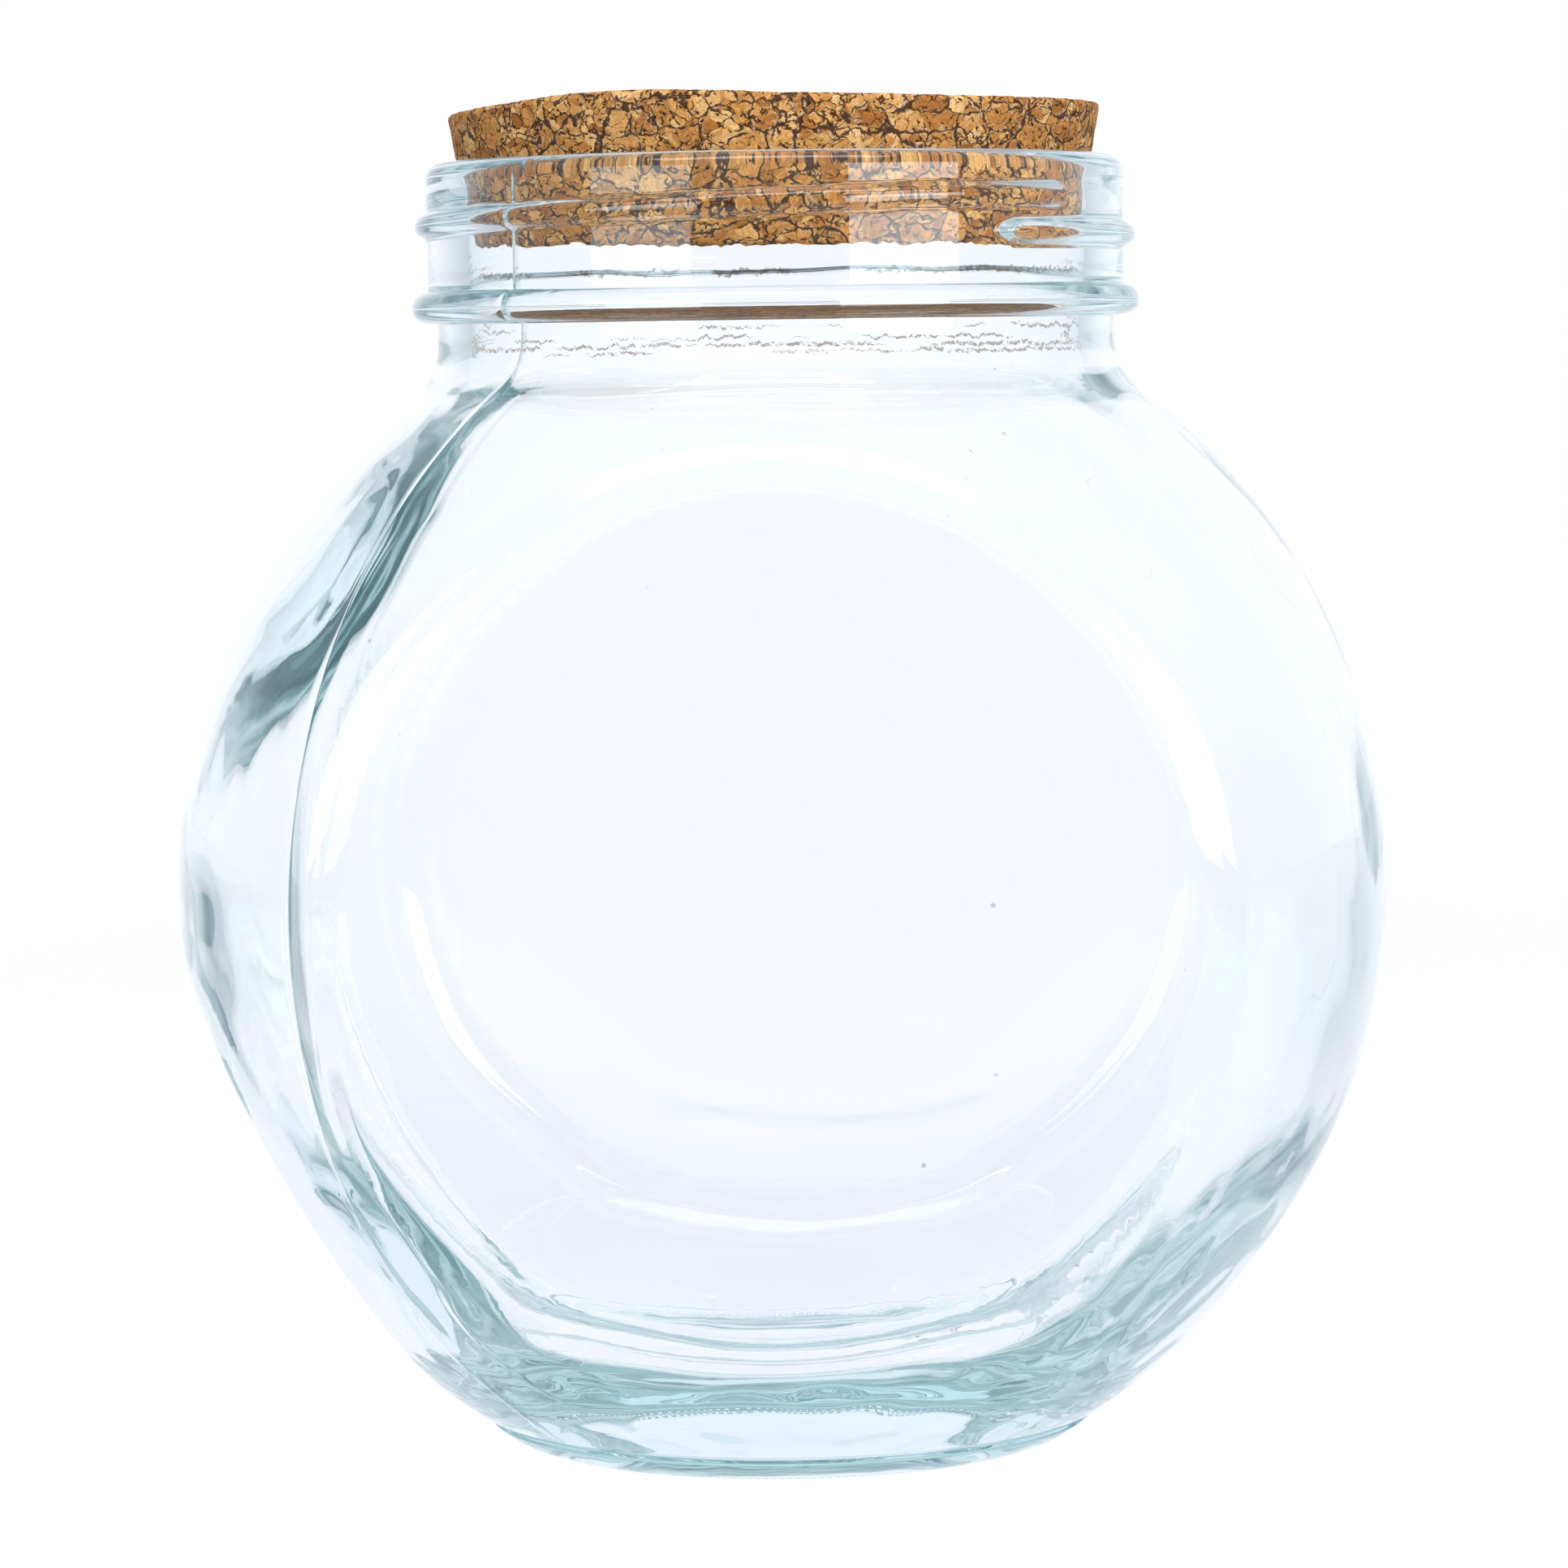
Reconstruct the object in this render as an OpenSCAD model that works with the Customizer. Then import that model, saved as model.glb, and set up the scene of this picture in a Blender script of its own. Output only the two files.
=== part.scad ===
// Glass jar with a tapered cork stopper: a round, crowned body with flat front and rear panels,
// a third flat low on one side to rest tilted on, a screw-thread neck and a short foot.
// The front panel faces -Y and the tilt rest faces -X. The jar stands on z = 0.

/* [Body] */
// Diameter of the body's round outline, seen from the front
body_dia = 150.6; // [140:0.2:160]
// Depth across the front and rear panels
body_depth = 118; // [110:1:124]
// Crown radius of the side band, seen from the side
band_r = 93.4; // [88:0.2:110]
// Height of the middle of the panels
body_mid_z = 70.8; // [69.8:0.1:72]
// Rounding where the panels meet the side band
panel_edge_r = 6; // [4:0.5:9]
// Thickness of the body's glass
wall = 3.8; // [2.6:0.1:5]
// Glass under the lowest point of the inside
base_thick = 5; // [3:0.5:8]
// Radius of the inside floor's shallow bowl
floor_r = 100; // [85:5:160]
// Rounding of the inside where the panels meet the side band
inner_edge_r = 5; // [3:0.5:8]

/* [Lower bowl] */
// Height up to which the round foot widens into the body
bowl_z = 19.5; // [18:0.5:22]
// Fullness of that widening, past a straight line
bowl_swell = 2; // [1:0.25:3]

/* [Tilt rest] */
// Angle of the tilt rest's normal below level
tilt_angle = 29.5; // [26:0.5:33]
// Length of the tilt rest, seen from the front
tilt_length = 62; // [50:1:68]

/* [Foot] */
// Diameter of the foot at the crease below the body
foot_dia = 75.4; // [73:0.2:77]
// Height of the crease above the surface that the jar stands on
foot_h = 3.3; // [2.8:0.1:4]
// Heel radius
heel_r = 12; // [9:0.5:14]
// Width of the bearing ring
bearing_w = 3; // [2:0.5:4]
// Rise of the push-up in the middle of the base
push_up = 2; // [1:0.5:3]

/* [Neck] */
// Height of the lip above the surface that the jar stands on
jar_h = 160.2; // [158:0.2:163]
// Diameter of the neck between the ring and the lip
neck_dia = 86.6; // [85:0.2:88]
// How far the neck steps in below the ring
low_neck_in = 1.2; // [0.8:0.1:1.8]
// Concave radius from the neck into the shoulder
shoulder_r = 8; // [6:0.5:10]
// How far the neck ring stands out from the neck
ring_out = 1.95; // [1.5:0.05:2.7]
// Height of the neck ring
ring_h = 3.9; // [3.4:0.1:4.6]
// Drop from the lip to the middle of the neck ring
ring_drop = 17.95; // [16.5:0.05:19]
// Radius of the rounded lip
lip_r = 2; // [1.6:0.1:2.2]
// Taper of the bore on each side, in degrees
bore_taper = 4; // [3:0.1:5]
// Height of the tapered bore, from the lip down to where it opens into the body
bore_h = 22.9; // [18:0.1:25]

/* [Thread] */
// How far the thread stands out from the neck
thread_out = 1.45; // [1.1:0.05:1.7]
// Fall of the thread in one turn
thread_pitch = 4.5; // [4:0.1:5.2]
// Height of the thread ridge where it leaves the neck
thread_h = 3.1; // [2.6:0.1:3.4]
// Drop from the lip to the thread's upper end
thread_drop = 5.45; // [5:0.05:6]
// Direction of the thread's upper end, in degrees from +X towards +Y
thread_start = -37; // [-60:1:-20]
// Direction of the thread's lower end, one turn on
thread_end = -52; // [-80:1:-15]

/* [Cork] */
// How much wider than the mouth the cork's top is
cork_over = 2.6; // [1.6:0.2:4]
// Height of the cork
cork_h = 17.8; // [15:0.2:20]
// Taper of the cork on each side, in degrees
cork_taper = 10.3; // [9:0.1:12]
// Clearance between the cork and the lip, all round
cork_gap = 0.3; // [0.2:0.05:0.6]
// Width of the strip shaved off one side of the cork's top
shave_w = 17; // [8:1:24]
// Depth of that strip at the cork's edge
shave_depth = 1.4; // [0.4:0.1:2]
// Rubbed edge at the top and bottom of the cork
cork_edge = 0.5; // [0.2:0.1:1]

/* [Hidden] */
$fn = 96;
far = 300; // beyond the whole jar, for cutting tools

body_r = body_dia / 2;
band_off = body_r - band_r; // the crown's centre, past the body's middle
tilt_d = sqrt(pow(body_r, 2) - pow(tilt_length / 2, 2));
foot_r = foot_dia / 2;
heel_x = foot_r - sqrt(pow(heel_r, 2) - pow(heel_r - foot_h, 2));
floor_z = push_up + base_thick;

neck_r = neck_dia / 2;
low_neck_r = neck_r - low_neck_in;
lip_z = jar_h - lip_r;
lip_x = neck_r - lip_r;
mouth_r = lip_x - lip_r;
ring_z = jar_h - ring_drop;
ring_bead = ring_h / 2;
throat_z = lip_z - bore_h;
throat_r = mouth_r - bore_h * tan(bore_taper);
flare_x = low_neck_r + shoulder_r;
flare_z = body_mid_z + sqrt(pow(body_r + shoulder_r, 2) - pow(flare_x, 2));
flare_out = flare_x * body_r / (body_r + shoulder_r) - 0.4; // just inside the shoulder

thread_bead = thread_h / 2;
thread_x = neck_r + thread_out - thread_bead;
thread_lean = asin(thread_pitch / 4 / thread_x);
thread_z = jar_h - thread_drop - thread_x * cos(thread_start) * sin(thread_lean);

cork_r = mouth_r + cork_over / 2;
cork_bottom_r = cork_r - cork_h * tan(cork_taper);
cork_z = lip_z - (mouth_r - cork_gap - cork_bottom_r) / tan(cork_taper);

// Half outline of the drum, which is turned about the Y axis: a crowned band with rounded panel edges
module drum_outline() {
    half = body_depth / 2;
    edge_y = half - panel_edge_r;
    edge_x = band_off + sqrt(pow(band_r - panel_edge_r, 2) - pow(edge_y, 2));
    meet_y = edge_y * band_r / (band_r - panel_edge_r);
    intersection() {
        translate([band_off, 0]) circle(band_r);
        translate([0, -meet_y]) square([far, 2 * meet_y]);
    }
    for (side = [0, 1]) mirror([0, side]) {
        translate([0, meet_y]) square([edge_x, half - meet_y]);
        intersection() {
            translate([edge_x, edge_y]) circle(panel_edge_r);
            translate([edge_x, meet_y]) square([panel_edge_r, half - meet_y]);
        }
    }
}

// Points along an arc about c, in n steps
function arc_points(c, r, from, to, n) = [for (i = [0 : n])
    let(a = from + (to - from) * i / n) c + r * [cos(a), sin(a)]];

// The same outline set in by the wall, in short steps
module inside_outline() {
    half = body_depth / 2 - wall;
    crown = band_r - wall;
    edge_y = half - inner_edge_r;
    edge_x = band_off + sqrt(pow(crown - inner_edge_r, 2) - pow(edge_y, 2));
    turn = asin(edge_y / (crown - inner_edge_r));
    polygon(concat(
        [[0, -half]],
        arc_points([edge_x, -edge_y], inner_edge_r, -90, -turn, 4),
        arc_points([band_off, 0], crown, -0.9 * turn, 0.9 * turn, 18),
        arc_points([edge_x, edge_y], inner_edge_r, turn, 90, 4),
        [[0, half]]));
}

module drum() {
    translate([0, 0, body_mid_z]) rotate([90, 0, 0]) rotate_extrude() children();
}

// Everything past the tilt rest's plane
module tilt_cut(depth) {
    translate([0, 0, body_mid_z]) rotate([0, -90 - tilt_angle, 0])
        translate([0, 0, depth]) cylinder(r = body_r, h = body_r);
}

module body_form() {
    difference() {
        drum() drum_outline();
        translate([-far / 2, -far / 2, bowl_z - far]) cube(far);
    }
}

// Half width of the crowned band at a distance y from the middle, or of the panel at its rim
function band_at(y) = band_off + sqrt(pow(band_r, 2) - pow(y, 2));

// How far the drum reaches from the jar's axis in direction a, at a drop d below the body's middle
function drum_reach(a, d, low = 0, high = body_dia, n = 24) =
    let(mid = (low + high) / 2, y = abs(mid * sin(a)))
    n == 0 ? low
    : y < body_depth / 2 && pow(mid * cos(a), 2) + pow(d, 2) < pow(band_at(y), 2)
    ? drum_reach(a, d, mid, high, n - 1)
    : drum_reach(a, d, low, mid, n - 1);

// Loft from the round foot to the drum's own section
module bowl_form() {
    sides = 96;
    rows = 6;
    inset = 0.05; // keeps the loft's ends just inside the foot and the drum
    tall = bowl_z + inset - foot_h;
    top = [for (j = [0 : sides - 1])
        drum_reach(360 * j / sides, body_mid_z - bowl_z) - inset];
    points = [for (i = [0 : rows]) for (j = [0 : sides - 1]) let(
        t = i / rows,
        r = (foot_r - inset) * (1 - t) + top[j] * t + 4 * bowl_swell * t * (1 - t))
        [r * cos(360 * j / sides), r * sin(360 * j / sides), foot_h + tall * t]];
    skin = [for (i = [0 : rows - 1]) for (j = [0 : sides - 1]) let(n = (j + 1) % sides)
        each [[i * sides + j, (i + 1) * sides + j, (i + 1) * sides + n],
              [i * sides + j, (i + 1) * sides + n, i * sides + n]]];
    ends = [[for (j = [0 : sides - 1]) j],
            [for (j = [sides - 1 : -1 : 0]) rows * sides + j]];
    polyhedron(points, concat(ends, skin), convexity = 4);
}

module foot_form() {
    rotate_extrude() difference() {
        union() {
            square([heel_x, foot_h]);
            intersection() {
                translate([heel_x, heel_r]) circle(heel_r);
                translate([heel_x, 0]) square([heel_r, foot_h]);
            }
        }
        push_up_outline();
    }
}

// Arc of the push-up, from the axis to the bearing ring
module push_up_outline() {
    reach = heel_x - bearing_w;
    arc_r = (pow(reach, 2) + pow(push_up, 2)) / (2 * push_up);
    intersection() {
        translate([0, push_up - arc_r]) circle(arc_r, $fn = 180);
        square([reach, push_up]);
    }
}

module shoulder_outline() {
    difference() {
        translate([0, body_mid_z]) square([flare_out, flare_z - body_mid_z]);
        translate([flare_x, flare_z]) circle(shoulder_r);
    }
}

module neck_form() {
    rotate_extrude() {
        shoulder_outline();
        translate([0, body_mid_z]) square([low_neck_r, ring_z - body_mid_z]);
        translate([0, ring_z]) square([neck_r, lip_z - ring_z]);
        translate([neck_r + ring_out - ring_bead, ring_z]) circle(ring_bead);
        intersection() {
            translate([lip_x, lip_z]) circle(lip_r);
            translate([mouth_r, lip_z]) square(2 * lip_r);
        }
    }
}

// Round ridge along a leaning ring, which falls half a pitch from one side of the neck to the other
module thread_arc(z, lean, from, to) {
    inset = 0.4; // degrees by which each end stays inside its ball
    translate([0, 0, z]) rotate([0, lean, 0]) rotate([0, 0, from + inset])
        rotate_extrude(angle = to - from - 2 * inset)
            translate([thread_x, 0]) circle(thread_bead, $fn = 48);
}

// Ball over the ridge's ends and joints
module thread_ball(z, a) {
    translate([0, 0, z]) rotate([0, -thread_lean, 0]) rotate([0, 0, a])
        translate([thread_x, 0, 0]) sphere(thread_bead + 0.1, $fn = 48);
}

module thread_form() {
    low_z = thread_z - thread_pitch;
    thread_arc(thread_z, -thread_lean, -180, thread_start);
    thread_arc(thread_z - thread_pitch / 2, thread_lean, 0, 180);
    thread_arc(low_z, -thread_lean, thread_end, 0);
    thread_ball(thread_z, thread_start);
    thread_ball(thread_z, 180);
    thread_ball(low_z, 0);
    thread_ball(low_z, thread_end);
}

// The inside: the drum set in by the wall, a shallow round floor and a tapered throat
module jar_inside() {
    difference() {
        intersection() {
            drum() inside_outline();
            translate([0, 0, floor_z + floor_r]) sphere(floor_r, $fn = 180);
        }
        tilt_cut(tilt_d - wall);
        translate([-far / 2, -far / 2, throat_z - low_neck_r / 20]) cube(far);
    }
    translate([0, 0, throat_z - body_r / 2]) cylinder(r = throat_r, h = body_r / 2);
    translate([0, 0, throat_z]) cylinder(
        r1 = throat_r, r2 = mouth_r + lip_r * tan(bore_taper), h = jar_h - throat_z);
}

module glass_jar() {
    color("#d3e6ea", 0.45) difference() {
        union() {
            body_form();
            bowl_form();
            foot_form();
            neck_form();
            thread_form();
        }
        jar_inside();
        tilt_cut(tilt_d);
    }
}

// Tapered stopper with rubbed edges and one shaved strip on its top
module cork_lid() {
    slope = shave_depth / shave_w;
    color("#c49a66") translate([0, 0, cork_z]) difference() {
        rotate_extrude() polygon([
            [0, 0],
            [cork_bottom_r - cork_edge, 0],
            [cork_bottom_r + cork_edge * tan(cork_taper), cork_edge],
            [cork_r - cork_edge * tan(cork_taper), cork_h - cork_edge],
            [cork_r - cork_edge, cork_h],
            [0, cork_h]
        ]);
        translate([shave_w - cork_r, 0, cork_h]) rotate([0, -atan(slope), 0])
            translate([-far, -far / 2, 0]) cube(far);
    }
}

glass_jar();
cork_lid();
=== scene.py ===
import math

import bpy
import numpy as np
from mathutils import Matrix, Vector, noise


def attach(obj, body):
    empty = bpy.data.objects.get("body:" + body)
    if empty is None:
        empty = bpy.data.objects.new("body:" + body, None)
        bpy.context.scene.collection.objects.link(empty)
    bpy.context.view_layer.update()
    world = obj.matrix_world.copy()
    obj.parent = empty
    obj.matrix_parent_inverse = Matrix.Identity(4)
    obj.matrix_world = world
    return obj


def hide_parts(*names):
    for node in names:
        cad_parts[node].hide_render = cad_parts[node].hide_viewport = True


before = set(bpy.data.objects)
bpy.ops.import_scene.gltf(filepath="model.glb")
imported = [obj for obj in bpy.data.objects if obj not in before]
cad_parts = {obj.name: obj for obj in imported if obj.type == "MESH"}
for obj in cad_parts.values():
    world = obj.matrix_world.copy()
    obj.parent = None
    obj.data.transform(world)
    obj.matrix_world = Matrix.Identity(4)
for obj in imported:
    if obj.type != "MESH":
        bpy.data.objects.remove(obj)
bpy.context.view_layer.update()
mm = 0.001


# small helpers

def softMax(a, b, k):
    h = np.clip(0.5 + 0.5 * (a - b) / k, 0, 1)
    return b * (1 - h) + a * h + k * h * (1 - h)


def softMin(a, b, k):
    return -softMax(-a, -b, k)


def smoothStep(low, high, value):
    t = np.clip((value - low) / (high - low), 0, 1)
    return t * t * (3 - 2 * t)


def noiseField(points, size, seed=0.0):
    # smooth noise at each point, about -1 to 1, with lumps of the given size in mm
    flat = points.reshape(-1, 3) / size + seed
    values = [noise.noise(Vector(p)) for p in flat]
    return np.array(values).reshape(points.shape[:-1])


def solveReach(gap, low, high, steps=36):
    # distance at which gap, a function of an array of distances, turns positive
    low = np.array(low, dtype=float)
    high = np.array(high, dtype=float)
    for _ in range(steps):
        mid = (low + high) / 2
        inside = gap(mid) < 0
        low = np.where(inside, mid, low)
        high = np.where(inside, high, mid)
    return (low + high) / 2


def wrapGrid(name, rows):
    # a plane grid is added, its rows are wrapped round the axis, and the seam and both poles are merged
    rowCount, columnCount = rows.shape[0], rows.shape[1]
    bpy.ops.object.select_all(action="DESELECT")
    bpy.ops.mesh.primitive_grid_add(x_subdivisions=columnCount - 1, y_subdivisions=rowCount - 1, size=1)
    piece = bpy.context.object
    piece.name = name
    piece.data.name = name
    flat = np.empty(len(piece.data.vertices) * 3)
    piece.data.vertices.foreach_get("co", flat)
    flat = flat.reshape(-1, 3)
    column = np.rint((flat[:, 0] + 0.5) * (columnCount - 1)).astype(int)
    row = np.rint((flat[:, 1] + 0.5) * (rowCount - 1)).astype(int)
    piece.data.vertices.foreach_set("co", (rows[row, column] * mm).ravel())
    bpy.ops.object.mode_set(mode="EDIT")
    bpy.ops.mesh.select_all(action="SELECT")
    bpy.ops.mesh.remove_doubles(threshold=0.000002)
    bpy.ops.mesh.normals_make_consistent(inside=False)
    bpy.ops.object.mode_set(mode="OBJECT")
    bpy.ops.object.shade_smooth()
    bpy.ops.object.transform_apply(location=True, rotation=True, scale=True)
    piece.select_set(False)
    return piece


# the jar's glass

jarGlass = {
    "columns": 264,
    "cornerBias": 0.6,        # crowds the columns at the panels' rims
    "centreZ": 70.8,
    "outlineR": 75.3,
    "crownR": 93.4,
    "halfDepth": 59.0,
    "edgeR": 6.0,
    "tiltAngle": 29.5,
    "tiltAt": 68.62,
    "tiltSoft": 1.6,
    "footR": 37.7,
    "footH": 3.3,
    "creaseDepth": 0.4,
    "heelR": 12.0,
    "bearing": 3.0,
    "pushUp": 2.0,
    "bowlTop": 23.0,
    "neckR": 43.3,
    "lowNeckR": 42.1,
    "ringR": 45.25,
    "ringZ": 142.25,
    "ringBead": 1.95,
    "lipZ": 158.2,
    "lipR": 2.0,
    "threadCentreR": 43.2,
    "threadBead": 1.55,
    "threadTips": (1.15, 2.6),  # length of its round ends, against their height
    "seamAt": (-134.6, 45.4),
    "seamHigh": (0.14, 0.06),
    "wall": 3.8,
    "innerEdgeR": 6.2,
    "floorBlend": 5.0,
    "floorZ": 7.0,
    "floorR": 140.0,
    # direction seen from the front, spread in degrees, depth in mm, place and spread along the depth
    "gathered": ((144, 15, 4.4, -25, 16), (222, 15, 3.2, -30, 18), (313, 15, 3.2, -18, 24), (181.5, 2.6, 0.35, -16, 14)),
}
# height of the thread's middle against the turn from its upper end, which is right of the front
threadTurn = [0, 30, 50, 80, 112, 143, 233, 323, 368]
threadHeight = [154.70, 154.62, 154.10, 153.35, 152.65, 152.25, 151.20, 150.32, 150.40]
threadEndAt = -37.0
boreHeight = [120, 134, 138, 141, 147, 150, 155, 158.2]
boreR = [37.60, 37.65, 37.75, 37.90, 38.35, 38.45, 38.75, 39.30]


def columnAngles():
    g = jarGlass
    u = np.linspace(0, 2 * math.pi, g["columns"] + 1)
    phi = u + g["cornerBias"] / 4 * np.sin(4 * u)
    for seam in g["seamAt"]:  # five close columns carry each mould seam
        at = math.radians(seam % 360)
        nearest = int(np.argmin(np.abs(phi - at)))
        phi[nearest - 2:nearest + 3] = at + np.radians([-0.36, -0.16, 0, 0.16, 0.36])
    return phi


def drumGap(x, y, z, half, outline, crown, edge):
    # how far a point is outside a drum that is turned about the Y axis
    rho = np.hypot(x, z - jarGlass["centreZ"])
    y = np.abs(y)
    off = outline - crown
    edgeY = half - edge
    edgeX = off + math.sqrt((crown - edge) ** 2 - edgeY ** 2)
    turn = math.asin(edgeY / (crown - edge))
    band = np.hypot(rho - off, y) - crown
    panel = y - half
    corner = np.hypot(rho - edgeX, y - edgeY) - edge
    return np.where(np.arctan2(y, rho - off) < turn, band, np.where(rho < edgeX, panel, corner))


def outerReach(phi, z):
    g = jarGlass
    c, s = np.cos(phi), np.sin(phi)
    swell = 2.0 * (1 - smoothStep(g["footH"] - 6, 26, z))  # the outline widens a little towards the foot

    def drumOnly(r, cosine=c, sine=s):
        return drumGap(r * cosine, r * sine, z, g["halfDepth"], g["outlineR"], g["crownR"], g["edgeR"]) - swell

    def body(r):
        return softMin(drumOnly(r), r - g["lowNeckR"], 3.8)

    reach = solveReach(body, np.full(z.shape, 20.0), np.full(z.shape, 100.0))
    side = solveReach(lambda r: drumOnly(r, 1.0, 0.0), np.full(z.shape, 20.0), np.full(z.shape, 100.0))
    t = np.clip((z - g["footH"]) / (g["bowlTop"] - g["footH"]), 0, 1)
    blend = smoothStep(0, 1, t ** 0.85)
    low = side + (reach - side) * blend
    crease = g["footR"] + (z - g["footH"]) * 1.35
    low = softMin(low, crease + 0.35, 0.7) if np.ndim(z) else low
    low = low - g["creaseDepth"] * np.exp(-((z - g["footH"] - 0.25) / 0.3) ** 2)
    reach = np.where(z < g["bowlTop"], low, reach)
    tilt = math.radians(g["tiltAngle"])
    away = np.where(c < -0.05, -c, 0.05)
    plane = (g["tiltAt"] + math.sin(tilt) * (z - g["centreZ"])) / (math.cos(tilt) * away)
    return softMin(reach, np.where(c < -0.05, plane, 500.0), g["tiltSoft"])


def outerRows(phi):
    g = jarGlass
    rows = []

    def ringRow(r, z):
        rows.append(np.stack([r * np.cos(phi), r * np.sin(phi), np.broadcast_to(z, phi.shape)], -1))

    heelX = g["footR"] - math.sqrt(g["heelR"] ** 2 - (g["heelR"] - g["footH"]) ** 2)
    reach = heelX - g["bearing"]
    arcR = (reach ** 2 + g["pushUp"] ** 2) / (2 * g["pushUp"])
    for r in np.linspace(0, reach, 12):
        ringRow(r, g["pushUp"] - arcR + math.sqrt(arcR ** 2 - r ** 2))
    for r in np.linspace(reach + 0.5, heelX, 4):
        ringRow(r, 0.0)
    turn = math.acos((g["heelR"] - g["footH"]) / g["heelR"])
    for a in np.linspace(0, turn, 11)[1:]:
        ringRow(heelX + g["heelR"] * math.sin(a), g["heelR"] * (1 - math.cos(a)))
    levels = np.concatenate([
        [3.38, 3.5, 3.65, 3.85, 4.15, 4.6, 5.2, 6.0, 7.0, 8.0],
        np.linspace(8.6, 24.0, 24),
        np.linspace(25.2, 116.0, 72),
        np.linspace(116.9, 139.4, 32),
    ])
    z = np.broadcast_to(levels[:, None], (len(levels), len(phi)))
    body = outerReach(np.broadcast_to(phi, z.shape), z)
    for i, level in enumerate(levels):
        ringRow(body[i], level)

    # ring, neck with the thread, and lip
    bead = [g["ringZ"] + 1.06 * g["ringBead"] * math.sin(a) for a in np.radians(np.linspace(-90, 90, 15))]
    neck = np.concatenate([bead, np.linspace(bead[-1] + 0.25, g["lipZ"] - 0.2, 44)])
    for level in neck:
        ringRow(neckReach(phi, level), level)
    for a in np.radians(np.linspace(0, 180, 15)):
        ringRow(g["neckR"] - g["lipR"] + g["lipR"] * math.cos(a), g["lipZ"] + g["lipR"] * math.sin(a))
    rows = np.array(rows)

    # a fine raised line where the mould halves met
    r = np.hypot(rows[..., 0], rows[..., 1])
    lift = np.zeros(r.shape)
    for seam, high in zip(g["seamAt"], g["seamHigh"]):
        apart = (np.degrees(phi) - seam + 180) % 360 - 180
        lift += high * np.exp(-(np.radians(apart) * r / 0.26) ** 2)
    high = smoothStep(3.5, 8, rows[..., 2]) * (1 - smoothStep(157.5, 159.5, rows[..., 2]))
    scale = 1 + lift * high / np.maximum(r, 1)
    rows[..., 0] *= scale
    rows[..., 1] *= scale
    return rows


def neckReach(phi, z):
    g = jarGlass
    low = g["lowNeckR"] + (g["neckR"] - g["lowNeckR"]) * (z > g["ringZ"])
    rise = g["ringBead"] ** 2 - (z - g["ringZ"]) ** 2
    ring = g["ringR"] - g["ringBead"] + (math.sqrt(rise) if rise > 0 else -3.0)
    reach = softMax(np.full(phi.shape, low), np.full(phi.shape, ring), 0.7)
    turned = (threadEndAt - np.degrees(phi)) % 360
    for lap in (-360, 0, 360):
        turn = turned + lap
        middle = np.interp(turn, threadTurn, threadHeight)
        past = np.maximum(-turn, 0) / g["threadTips"][0] + np.maximum(turn - threadTurn[-1], 0) / g["threadTips"][1]
        rise = g["threadBead"] ** 2 - (z - middle) ** 2 - (np.radians(past) * g["neckR"]) ** 2
        ridge = g["threadCentreR"] + np.where(rise > 0, np.sqrt(np.maximum(rise, 0)), -2.0)
        reach = softMax(reach, ridge, 0.35)
    return reach


def extraWall(x, y, z):
    # glass that gathered while the jar was blown: the left shoulder, and less at the lower sides
    g = jarGlass
    angle = np.degrees(np.arctan2(z - g["centreZ"], x)) % 360
    extra = 0
    for at, spread, deep, level, wide in g["gathered"]:
        apart = (angle - at + 180) % 360 - 180
        extra = extra + deep * np.exp(-(apart / spread) ** 2 - ((y - level) / wide) ** 2)
    return extra * smoothStep(30, 56, np.hypot(x, z - g["centreZ"]))


def innerRows(phi):
    g = jarGlass
    half, outline, crown = (g[k] - g["wall"] for k in ("halfDepth", "outlineR", "crownR"))
    tilt = math.radians(g["tiltAngle"])
    rows = []
    for level in np.linspace(g["lipZ"] - 1.0, 136.2, 18):
        r = np.full(phi.shape, np.interp(level, boreHeight, boreR))
        rows.append(np.stack([r * np.cos(phi), r * np.sin(phi), np.full(phi.shape, level)], -1))

    # rays from the body's middle, from just under the throat down to the floor
    centre = 68.0
    polar = np.radians(np.concatenate([np.linspace(29.8, 52, 26), np.linspace(53.4, 180, 86)]))[:, None]
    c = np.sin(polar) * np.cos(phi)
    s = np.sin(polar) * np.sin(phi)
    v = np.broadcast_to(np.cos(polar), c.shape)

    def cavity(d):
        x, y, z = d * c, d * s, centre + d * v
        drum = drumGap(x, y, z, half, outline, crown, g["innerEdgeR"]) + extraWall(x, y, z)
        floor = np.hypot(np.hypot(x, y), z - g["floorZ"] - g["floorR"]) - g["floorR"]
        rest = -math.cos(tilt) * x - math.sin(tilt) * (z - g["centreZ"]) - g["tiltAt"] + g["wall"]
        room = softMax(softMax(drum, floor, g["floorBlend"]), rest, 3.0)
        throat = softMax(np.hypot(x, y) - np.interp(z, boreHeight, boreR), 112.0 - z, 3.0)
        return softMin(room, throat, 4.5)

    d = solveReach(cavity, np.full(c.shape, 15.0), np.full(c.shape, 100.0))
    body = np.stack([d * c, d * s, centre + d * v], -1)
    return np.concatenate([np.array(rows), body])


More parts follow.
